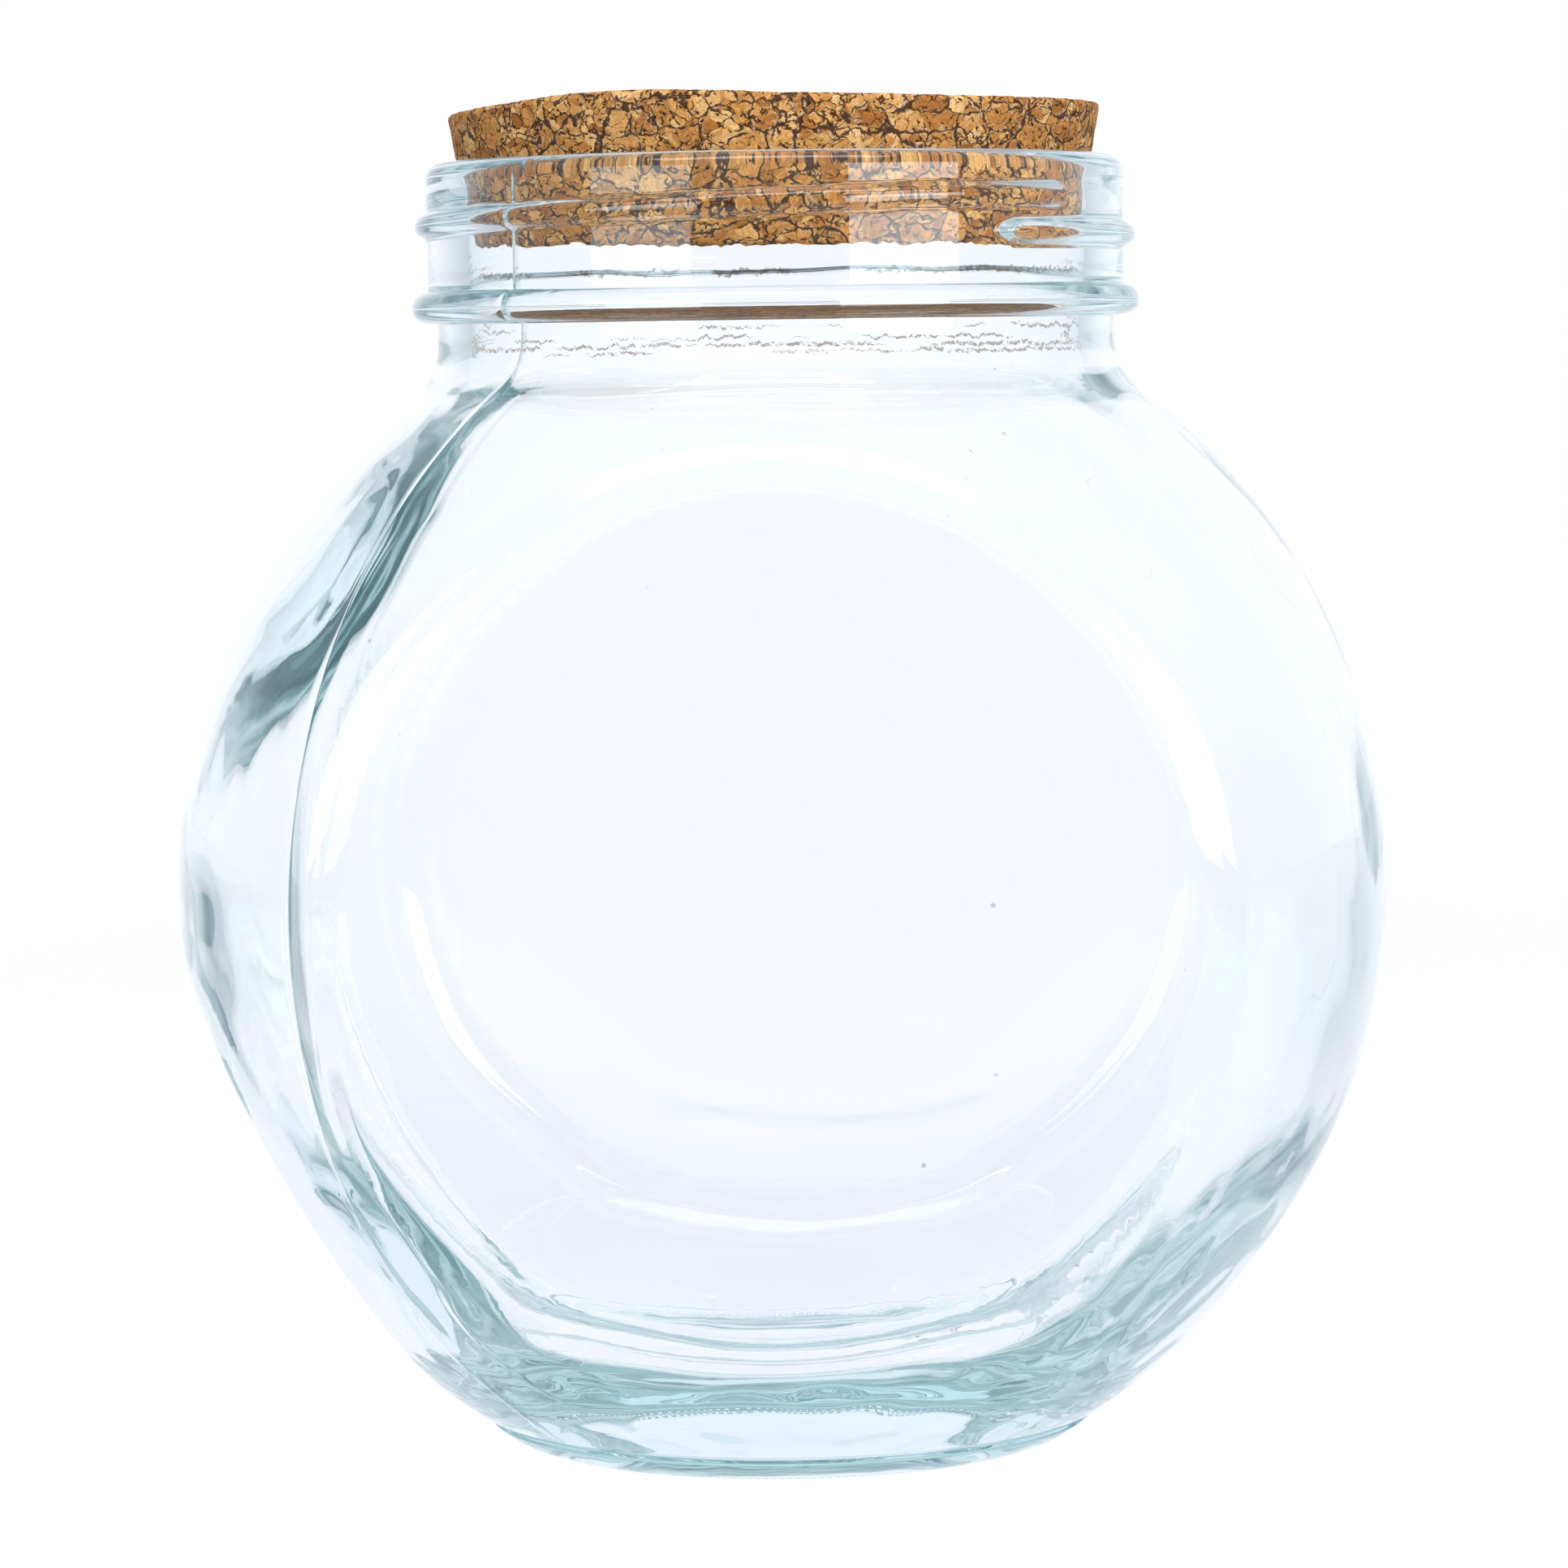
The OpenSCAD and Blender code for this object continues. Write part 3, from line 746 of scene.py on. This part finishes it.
def makeCork():
    material, tree = newMaterial("pressed_cork")
    coords = addNode(tree, "ShaderNodeTexCoord", (-900, 0))
    grain = addNode(tree, "ShaderNodeGroup", (-700, 0))
    grain.node_tree = corkGrainGroup()
    tree.links.new(coords.outputs["Object"], grain.inputs["Vector"])
    bump = addNode(tree, "ShaderNodeBump", (-300, -200))
    bump.inputs["Strength"].default_value = corkLook["bump"]
    bump.inputs["Distance"].default_value = corkLook["bumpDepth"]
    tree.links.new(grain.outputs["Height"], bump.inputs["Height"])
    shader = addNode(tree, "ShaderNodeBsdfPrincipled", (0, 0))
    shader.inputs["Specular IOR Level"].default_value = 0.25
    tree.links.new(grain.outputs["Color"], shader.inputs["Base Color"])
    tree.links.new(grain.outputs["Roughness"], shader.inputs["Roughness"])
    tree.links.new(bump.outputs["Normal"], shader.inputs["Normal"])
    out = addNode(tree, "ShaderNodeOutputMaterial", (300, 0))
    tree.links.new(shader.outputs["BSDF"], out.inputs["Surface"])
    return material


jar.data.materials.clear()
jar.data.materials.append(makeGlass())
cork.data.materials.clear()
cork.data.materials.append(makeCork())
print("materials: done")


# stage, lights and camera

studio = {
    "floor": (-0.55, 3.2, 3.0),    # front edge, back edge and half width
    "near": (0.62, 0.52),    # the floor's colour and glow by the object, where it takes the shadow
    "far": (0.06, 1.02),     # the same away from it, where it merges with the backdrop
    "nearTo": (0.22, 0.90),
    "through": (0.86, 0.87, 0.91, 1),  # painted shadow: the floor by the object, a little darker, as glass shows it
    "lamps": {
        # name: place, aim, width, height, watts, colour
        "top_softbox": ((0.0, -0.37, 0.90), (0, 0, 0.10), 0.9, 0.28, 3.8, (1.0, 1.0, 1.0)),
        "left_softbox": ((-0.811, -0.898, 0.32), (0, 0, 0.10), 0.76, 0.50, 3.9, (0.80, 1.0, 1.12)),
        "right_softbox": ((0.864, -0.892, 0.32), (0, 0, 0.10), 0.86, 0.50, 8.4, (0.88, 1.0, 1.08)),
    },
    # what reflections show against the direction, from the dim side of the room to the backdrop
    "around": [(0.0, (0.07, 0.11, 0.13)), (0.12, (0.11, 0.155, 0.18)), (0.35, (0.25, 0.31, 0.34)), (0.55, (0.38, 0.44, 0.475)),
               (0.75, (0.57, 0.615, 0.64)), (0.88, (0.82, 0.85, 0.875)), (0.95, (0.93, 0.945, 0.96)), (0.992, (1.0, 1.0, 1.0))],
    # what shows straight through the glass: four pale walls, with dimmer corners and ceiling
    "walls": [(0.0, (0.30, 0.35, 0.38)), (0.35, (0.46, 0.51, 0.54)), (0.62, (0.78, 0.81, 0.835)), (0.76, (0.90, 0.92, 0.935)),
              (0.90, (0.96, 0.97, 0.98)), (0.985, (1.0, 1.0, 1.0))],
    "backdrop": (1.125, 1.115, 1.155, 1),
    "fill": (0.50, 0.49, 0.48, 1),
}


def roomColor(tree, aim, at):
    # the studio against a direction, for what is reflected and for what shows straight through
    parts = addNode(tree, "ShaderNodeSeparateXYZ", (at[0] - 400, at[1]))
    tree.links.new(aim, parts.inputs[0])
    behind = mapRange(tree, parts.outputs["Y"], -1.0, 1.0, at=(at[0] - 200, at[1]), smooth=False)
    sides = [maths(tree, "ABSOLUTE", parts.outputs[axis], at=(at[0] - 200, at[1] - 200)) for axis in ("X", "Y")]
    square = maths(tree, "MAXIMUM", *sides, (at[0] - 100, at[1] - 300))
    colors = []
    for i, (value, stops) in enumerate(((square, "walls"), (behind, "around"))):
        ramp = addNode(tree, "ShaderNodeValToRGB", (at[0], at[1] - 250 * i))
        tree.links.new(value, ramp.inputs["Fac"])
        setStops(ramp, studio[stops])
        colors.append(ramp.outputs["Color"])
    paths = addNode(tree, "ShaderNodeLightPath", (at[0], at[1] + 350))
    mirrored = maths(tree, "GREATER_THAN", paths.outputs["Glossy Depth"], 0.5, (at[0] + 150, at[1] + 200))
    return mixColor(tree, mirrored, colors[0], colors[1], (at[0] + 300, at[1]))


def makeFloor():
    front, back, half = studio["floor"]
    bpy.ops.object.select_all(action="DESELECT")
    bpy.ops.mesh.primitive_plane_add(size=2, location=(0, (front + back) / 2, -0.0002))
    floor = bpy.context.object
    floor.name = "studio_floor"
    floor.scale = (half, (back - front) / 2, 1)
    bpy.ops.object.transform_apply(location=True, rotation=True, scale=True)
    material, tree = newMaterial("floor_paper")
    coords = addNode(tree, "ShaderNodeTexCoord", (-1000, 0))
    flat = vectorMaths(tree, "MULTIPLY", coords.outputs["Object"], (1.0, 0.62, 0.0), at=(-850, 0))
    apart = vectorMaths(tree, "LENGTH", flat, at=(-700, 0))
    away = mapRange(tree, apart.node.outputs["Value"], *studio["nearTo"], at=(-550, 0))
    grey = mixValue(tree, away, studio["near"][0], studio["far"][0], (-400, 100))
    glow = mixValue(tree, away, studio["near"][1], studio["far"][1], (-400, -100))
    shader = addNode(tree, "ShaderNodeBsdfPrincipled", (0, 0))
    color = addNode(tree, "ShaderNodeCombineColor", (-200, 100))
    for socket in color.inputs:
        tree.links.new(grey, socket)
    tree.links.new(color.outputs[0], shader.inputs["Base Color"])
    shader.inputs["Roughness"].default_value = 0.9
    shader.inputs["Specular IOR Level"].default_value = 0.1
    shader.inputs["Emission Color"].default_value = (1, 1, 1, 1)
    paths = addNode(tree, "ShaderNodeLightPath", (-600, -400))
    tree.links.new(maths(tree, "MULTIPLY", glow, paths.outputs["Is Camera Ray"], (-200, -200)), shader.inputs["Emission Strength"])

    # seen in or through the glass, the floor merges with the backdrop, with a painted shadow close to the object
    room = roomColor(tree, vectorMaths(tree, "NORMALIZE", flat, at=(-1000, 500)), (-550, 500))
    shown = mixColor(tree, mapRange(tree, apart.node.outputs["Value"], 0.05, 0.35, at=(-400, 400)), studio["through"], room, (-200, 400))
    shown = mixColor(tree, 1.0, shown, studio["backdrop"], (-50, 400), "MULTIPLY")
    glowing = addNode(tree, "ShaderNodeEmission", (100, 400))
    tree.links.new(shown, glowing.inputs["Color"])
    indirect = maths(tree, "MAXIMUM", paths.outputs["Is Transmission Ray"], paths.outputs["Is Glossy Ray"], (-400, -400))
    direct = maths(tree, "LESS_THAN", paths.outputs["Diffuse Depth"], 0.5, (-400, -550))
    mix = addNode(tree, "ShaderNodeMixShader", (300, 200))
    tree.links.new(maths(tree, "MULTIPLY", indirect, direct, (-200, -450)), mix.inputs[0])
    tree.links.new(shader.outputs["BSDF"], mix.inputs[1])
    tree.links.new(glowing.outputs["Emission"], mix.inputs[2])
    out = addNode(tree, "ShaderNodeOutputMaterial", (500, 0))
    tree.links.new(mix.outputs["Shader"], out.inputs["Surface"])
    material.cycles.emission_sampling = "NONE"
    floor.data.materials.clear()
    floor.data.materials.append(material)
    floor.select_set(False)
    return floor


def makeLamp(name, place, aim, width, height, strength, color):
    light = bpy.data.lights.new(name, "AREA")
    light.shape = "RECTANGLE"
    light.size = width
    light.size_y = height
    light.energy = strength
    light.color = color
    lamp = bpy.data.objects.new(name, light)
    bpy.context.collection.objects.link(lamp)
    lamp.visible_camera = False
    lamp.location = place
    lamp.rotation_euler = (Vector(aim) - Vector(place)).to_track_quat("-Z", "Y").to_euler()
    return lamp


def makeWorld():
    world = bpy.data.worlds.new("studio_world")
    bpy.context.scene.world = world
    world.use_nodes = True
    tree = world.node_tree
    tree.nodes.clear()
    coords = addNode(tree, "ShaderNodeTexCoord", (-1600, 0))
    room = roomColor(tree, coords.outputs["Generated"], (-900, 0))
    paths = addNode(tree, "ShaderNodeLightPath", (-500, 600))
    around = mixColor(tree, 1.0, room, studio["backdrop"], (-250, 0), "MULTIPLY")

    scattered = maths(tree, "GREATER_THAN", paths.outputs["Diffuse Depth"], 0.5, (-300, 400))
    around = mixColor(tree, scattered, around, studio["fill"], (300, 0))
    shown = mixColor(tree, paths.outputs["Is Camera Ray"], around, (1, 1, 1, 1), (500, 0))
    shade = addNode(tree, "ShaderNodeBackground", (700, 0))
    tree.links.new(shown, shade.inputs["Color"])
    out = addNode(tree, "ShaderNodeOutputWorld", (900, 0))
    tree.links.new(shade.outputs["Background"], out.inputs["Surface"])


def makeCamera():
    data = bpy.data.cameras.new("photo_camera")
    data.sensor_width = 36.0
    data.sensor_fit = "HORIZONTAL"
    data.lens = 144.97
    data.clip_start, data.clip_end = 0.01, 20
    camera = bpy.data.objects.new("photo_camera", data)
    bpy.context.collection.objects.link(camera)
    right = Vector((0.9994461, 0.03020143, -0.01397751))
    up = Vector((0.0118256, 0.0702916, 0.99745639))
    ahead = Vector((-0.03110711, 0.99706919, -0.06989552))
    turn = Matrix((right, up, -ahead)).transposed().to_4x4()
    camera.matrix_world = Matrix.Translation((0.024756, -0.787755, 0.137582)) @ turn
    bpy.context.scene.camera = camera


floor = makeFloor()
for name, values in studio["lamps"].items():
    makeLamp(name, *values)
makeWorld()
makeCamera()
bpy.context.scene.view_settings.view_transform = "Standard"
print("stage: done")


# what moves with what

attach(jar, "jar")
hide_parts("glass_jar")
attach(cork, "stopper")
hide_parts("cork_lid")
